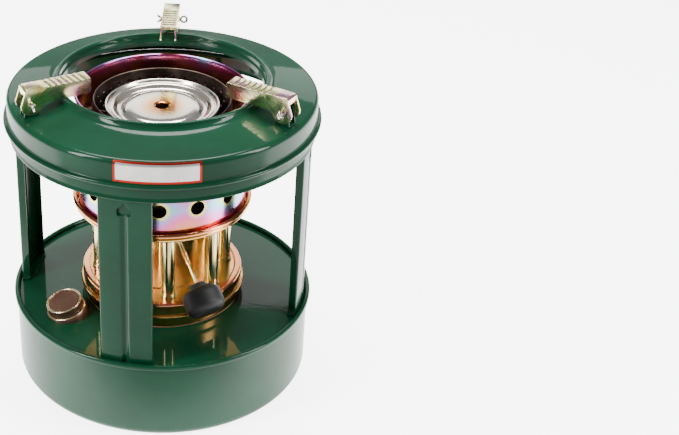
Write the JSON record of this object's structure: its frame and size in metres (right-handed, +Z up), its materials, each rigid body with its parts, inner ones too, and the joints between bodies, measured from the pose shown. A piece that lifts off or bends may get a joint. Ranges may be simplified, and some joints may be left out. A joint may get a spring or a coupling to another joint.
{
  "type": "camping stove",
  "caption": "Kerosene camp stove: round fuel tank, legs, top ring with folding pot supports, and a burner of wick tubes raised by a side knob.",
  "frame": {"origin": "on the floor under the middle of the tank", "axes": "+Z up; the regulator knob and the blank plate are towards -Y, +X to the right as seen from there"},
  "size_m": [0.2356, 0.2356, 0.257],
  "materials": {
    "green_enamel": "glossy",
    "bronze_plate": "satin",
    "rubber_seal": "matte",
    "cork_seal": "matte",
    "plate_tin": "satin",
    "yellow_zinc": "satin",
    "pin_steel": "bright",
    "copper_tint_zinc": "bright",
    "gold_zinc": "bright",
    "cotton_wick": "woven",
    "bright_steel": "bright",
    "cast_zinc": "cast",
    "black_phenolic": "semi-matte",
    "heat_dark_steel": "heat darkened",
    "rainbow_zinc": "iridescent passivate",
    "nickel_dish": "bright"
  },
  "bodies": {
    "stove": {"tank_shell": "green_enamel", "tank_deck": "green_enamel", "filler_neck": "bronze_plate", "leg_front": "green_enamel", "leg_right": "green_enamel", "leg_back": "green_enamel", "leg_left": "green_enamel", "under_ring": "green_enamel", "top_ring": "green_enamel", "blank_plate": "plate_tin", "support_bracket_back": "green_enamel", "support_bracket_left": "green_enamel", "support_bracket_right": "green_enamel", "pivot_pin_back": "pin_steel", "pivot_pin_left": "pin_steel", "pivot_pin_right": "pin_steel", "burner_gasket": "cork_seal", "burner_socket": "copper_tint_zinc", "burner_platform": "copper_tint_zinc", "gallery": "copper_tint_zinc", "wick_tube_1": "gold_zinc", "wick_tube_2": "gold_zinc", "wick_tube_3": "gold_zinc", "wick_tube_4": "gold_zinc", "wick_tube_5": "gold_zinc", "wick_tube_6": "gold_zinc", "wick_tube_7": "gold_zinc", "wick_tube_8": "gold_zinc", "guide_tube": "gold_zinc", "rack_housing": "cast_zinc", "shaft_bracket": "gold_zinc"},
    "filler_seal": {"filler_gasket": "rubber_seal"},
    "filler_lid": {"filler_cap": "bronze_plate"},
    "support_back": {"pot_support_back": "yellow_zinc"},
    "support_left": {"pot_support_left": "yellow_zinc"},
    "support_right": {"pot_support_right": "yellow_zinc"},
    "regulator": {"pinion": "gold_zinc", "inner_shaft": "gold_zinc", "shaft_sleeve": "copper_tint_zinc", "outer_shaft": "gold_zinc", "knob": "black_phenolic"},
    "wick_set": {"wick_carrier": "bright_steel", "lift_rod": "bright_steel", "wick_1": "cotton_wick", "wick_2": "cotton_wick", "wick_3": "cotton_wick", "wick_4": "cotton_wick", "wick_5": "cotton_wick", "wick_6": "cotton_wick", "wick_7": "cotton_wick", "wick_8": "cotton_wick"},
    "burner_head": {"inner_flame_tube": "heat_dark_steel", "outer_flame_tube": "heat_dark_steel", "outer_shell": "rainbow_zinc", "spreader_dish": "nickel_dish", "cross_pins": "heat_dark_steel"}
  },
  "joints": [
    {"name": "support_back_fold", "type": "hinge", "parent": "stove", "child": "support_back", "pos_m": [0.00783, 0.10411, 0.24496], "axis": [-0.9972, 0.075, 0], "range_deg": [0, 105]},
    {"name": "support_left_fold", "type": "hinge", "parent": "stove", "child": "support_left", "pos_m": [-0.09407, -0.04527, 0.24496], "axis": [0.4337, -0.9011, 0], "range_deg": [0, 105]},
    {"name": "support_right_fold", "type": "hinge", "parent": "stove", "child": "support_right", "pos_m": [0.08624, -0.05883, 0.24496], "axis": [0.5635, 0.8261, 0], "range_deg": [0, 105]},
    {"name": "cap_lift", "type": "slide", "parent": "stove", "child": "filler_seal", "axis": [-0.2264, -0.1255, 0.9659], "range_m": [0, 0.00375]},
    {"name": "cap_turn", "type": "hinge", "parent": "filler_seal", "child": "filler_lid", "pos_m": [-0.07303, -0.04048, 0.0625], "axis": [-0.2264, -0.1255, 0.9659], "range_deg": [0, 540]},
    {"name": "knob_turn", "type": "hinge", "parent": "stove", "child": "regulator", "pos_m": [-0.00486, -0.00258, 0.154], "axis": [0.3648, -0.6862, -0.6293], "range_deg": [-44.53, 89.06]},
    {"name": "wick_lift", "type": "slide", "parent": "stove", "child": "wick_set", "axis": [0, 0, 1], "range_m": [-0.004, 0.008]},
    {"name": "head_lift", "type": "slide", "parent": "stove", "child": "burner_head", "axis": [0, 0, 1], "range_m": [0, 0.009]}
  ],
  "couplings": [
    {"joint": "cap_turn", "follows": "cap_lift", "rad_per_m": 2513.3},
    {"joint": "knob_turn", "follows": "wick_lift", "rad_per_m": 194.29}
  ]
}
